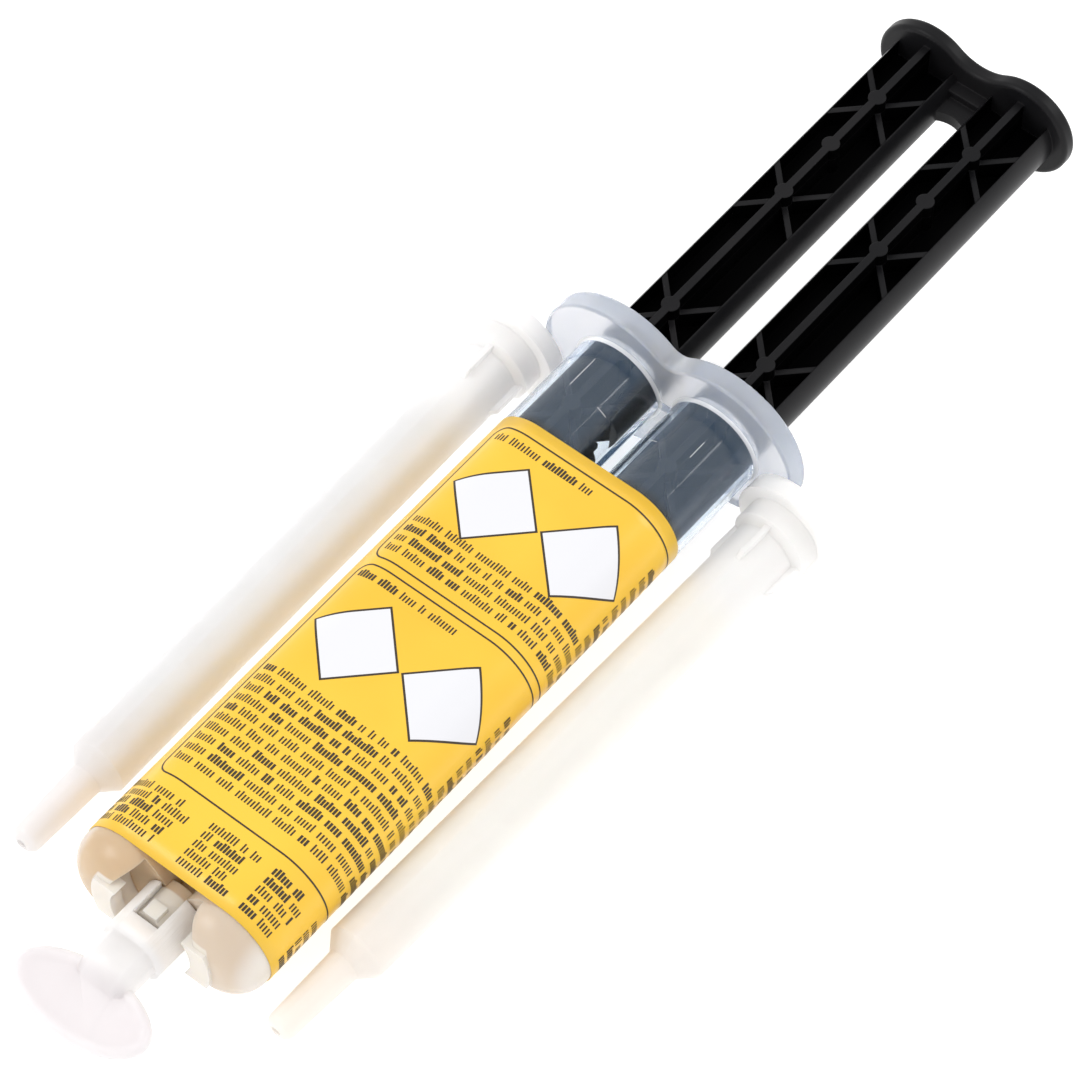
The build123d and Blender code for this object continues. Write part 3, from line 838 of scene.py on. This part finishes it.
def print_row(ink, station, start, end):
    """One row of words from one way round to a smaller one."""
    way = start
    while way > end:
        width = BOLD_WIDTH if picker.random() < BOLD_SHARE else TICK_WIDTH
        for letter in range(picker.randint(SHORTEST_WORD, LONGEST_WORD)):
            if way < end:
                break
            height = TALL if picker.random() < TALL_SHARE else PRINT_HEIGHT
            top, after = station + height, way - width
            ink.patch(((station, way), (top, way), (top, after), (station, after)), INK_LIFT)
            way -= TICK_PITCH
        way -= WORD_GAP


print("one row of", round(50 / TICK_PITCH), "ticks fills 50 mm")

# %% [markdown]
# The marks are laid out in millimetres on the flat label, as they lie on the real one: two tall frames with two
# fields each, a title over the fields, full rows under them, short rows beside them, and four small columns at
# the end near the cap. Each title comes with the station of its first full row and the number of such rows.

# %% Print layout
FRAMES = ((61.3, 92.4, -36.0, 15.6), (12.6, 59.9, -36.0, 15.4))
FRAME_CORNER = 2.4
FRAME_WIDTH = 0.28
FIELDS = ((79.3, 5.6), (79.7, -11.3), (46.9, 5.6), (47.1, -11.4))
FIELD_REACH = 8.4
FIELD_EDGE = 0.5
ROW_PITCH = 2.2
ROW_START, ROW_END = 14.3, -34.0
TITLE_END = -4.5
SHORT_START = -20.8
SHORT_ROWS = 8
TITLES = ((89.4, 69.9, 4), (57.0, 35.5, 10))
COLUMNS = ((20.0, 4.5), (1.5, -8.0), (-10.5, -18.5), (-21.5, -31.0))
COLUMN_TOP = 9.2
COLUMN_ROWS = 5
SMALL_PITCH = 1.8
RAGGED_END = 2.5

lines, rows, edges, fields = Ink(), Ink(), Ink(), Ink()
for box in FRAMES:
    frame_line(lines, box, FRAME_CORNER, FRAME_WIDTH)
for middle in FIELDS:
    diamond(edges, middle, FIELD_REACH, FIELD_EDGE_LIFT)
    diamond(fields, middle, FIELD_REACH - FIELD_EDGE, FIELD_LIFT)
for title_station, first_station, full_rows in TITLES:
    print_row(rows, title_station, ROW_START, TITLE_END)
    for k in range(full_rows):
        print_row(rows, first_station - k * ROW_PITCH, ROW_START, ROW_END)
    for k in range(1, SHORT_ROWS + 1):
        print_row(rows, first_station + k * ROW_PITCH, SHORT_START, ROW_END)
for column_start, column_end in COLUMNS:
    for k in range(COLUMN_ROWS):
        print_row(rows, COLUMN_TOP - k * SMALL_PITCH, column_start, column_end + picker.uniform(0.0, RAGGED_END))
dark_ink = plastic("dark_ink", (0.035, 0.022, 0.01), 0.42)
drift(dark_ink, "Roughness", 0.38, 0.5)
white_ink = plastic("white_ink", (0.76, 0.76, 0.79), 0.4)
drift(white_ink, "Roughness", 0.36, 0.46)
for name, ink, material in (
    ("label_frames", lines, dark_ink),
    ("label_print", rows, dark_ink),
    ("label_field_edges", edges, dark_ink),
    ("label_fields", fields, white_ink),
):
    mesh_piece(name, ink.points, ink.faces, material, "cartridge")
    print(name, "has", len(ink.faces), "faces")

# %% [markdown]
# ## Small moulded marks on the barrels
# Between the label and the flange, each clear barrel carries a few hair-fine raised lines left by the mould,
# and a narrow fillet runs round it where it meets the flange. Both catch the light as thin bright strokes,
# which tell the eye where the invisible surface is. They are modelled, because a bump on clear plastic would
# bend the view of the arms behind it instead. Their plastic is whiter and less clear than the barrel's, a
# painted highlight on top of the glints the raised shapes catch themselves.

# %% Mould lines and fillets
BARREL_RADIUS = 8.2
LINE_WIDTH = 0.12
LINE_HEIGHT = 0.05
LINE_FOOT = 0.003
LINE_STEPS = 8
FILLET = 0.45
FILLET_LIFT = 0.004
FILLET_AROUND = 96
FILLET_STEPS = 5


def on_barrel(side, station, degrees, lift=0.0):
    """A point over a barrel's wall: side 1 is barrel a, and degrees are counted outwards from its top."""
    angle = math.radians(degrees)
    radius = BARREL_RADIUS + lift
    return spot(station, side * (ARM_OFFSET + radius * math.sin(angle)), radius * math.cos(angle))


def raised_line(points, faces, side, stations, degrees):
    """A low rib with a sharp crest, along the barrel or round it."""
    (u0, u1), (d0, d1) = stations, degrees
    wide_u = LINE_WIDTH / 2 if u0 == u1 else 0.0
    wide_d = 0.0 if u0 == u1 else math.degrees(LINE_WIDTH / 2 / BARREL_RADIUS)
    first = len(points)
    for k in range(LINE_STEPS + 1):
        station, angle = u0 + (u1 - u0) * k / LINE_STEPS, d0 + (d1 - d0) * k / LINE_STEPS
        points.append(on_barrel(side, station - wide_u, angle - wide_d, LINE_FOOT))
        points.append(on_barrel(side, station, angle, LINE_HEIGHT))
        points.append(on_barrel(side, station + wide_u, angle + wide_d, LINE_FOOT))
    for k in range(LINE_STEPS):
        a = first + 3 * k
        faces += [(a, a + 1, a + 4, a + 3), (a + 1, a + 2, a + 5, a + 4)]


def fillet_ring(points, faces, side):
    """A hollow-curved ring from the barrel's wall up onto the flange's face."""
    first = len(points)
    for k in range(FILLET_AROUND):
        for step in range(FILLET_STEPS + 1):
            turn = math.radians(90 * step / FILLET_STEPS)
            lift = FILLET * (1 - math.cos(turn))
            station = FLANGE_FRONT - FILLET * (1 - math.sin(turn))
            degrees = 360 * k / FILLET_AROUND
            points.append(on_barrel(side, station - FILLET_LIFT, degrees, lift + FILLET_LIFT))
    row = FILLET_STEPS + 1
    for k in range(FILLET_AROUND):
        a, b = first + k * row, first + (k + 1) % FILLET_AROUND * row
        faces += [(a + step, b + step, b + step + 1, a + step + 1) for step in range(FILLET_STEPS)]


mark_points, mark_faces = [], []
raised_line(mark_points, mark_faces, 1, (104.1, 110.4), (11.6, 11.6))
raised_line(mark_points, mark_faces, 1, (103.9, 103.9), (-28.7, -43.6))
raised_line(mark_points, mark_faces, -1, (105.0, 108.6), (17.0, 17.0))
raised_line(mark_points, mark_faces, -1, (104.4, 104.4), (-25.4, -38.3))
for barrel_side in (1, -1):
    fillet_ring(mark_points, mark_faces, barrel_side)
# Painted highlight: the marks are whiter and less clear than the barrel around them.
painted_glint_plastic = plastic("painted_glint_plastic", (0.93, 0.94, 0.95), 0.2, ior=1.42, transmission_weight=0.4)
moulded_skin(painted_glint_plastic, 0.1, 0.05)
drift(painted_glint_plastic, "Roughness", 0.15, 0.25)
mesh_piece("barrel_marks", mark_points, mark_faces, painted_glint_plastic, "cartridge")
print("barrel marks have", len(mark_faces), "faces")

# %% [markdown]
# ## The pastes get meshes of their own
# When the plunger goes in, the pistons push the paste out, so each paste gets shorter. It can't ride on a body
# that moves, because its front end stays at the front wall. Here each paste is only given a mesh of its own, a
# copy of the solid's; it isn't squashed.

# %% Give the pastes their own meshes
for name in ("resin_fill", "hardener_fill"):
    fill = frame["nodes"][name]
    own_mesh(fill)

# %% [markdown]
# ## Smooth shading of the solids
# The solids arrive as fine triangles. Shaded flat, a barrel would show its facets as stripes. Smoothing every
# edge would melt the real corners, so the edges that turn by more than thirty degrees are kept sharp.

# %% Smooth by angle
for name, piece in frame["nodes"].items():
    piece.data.shade_smooth()
    piece.data.set_sharp_from_angle(angle=SMOOTH_UNDER)
    print(name, len(piece.data.polygons), "faces")
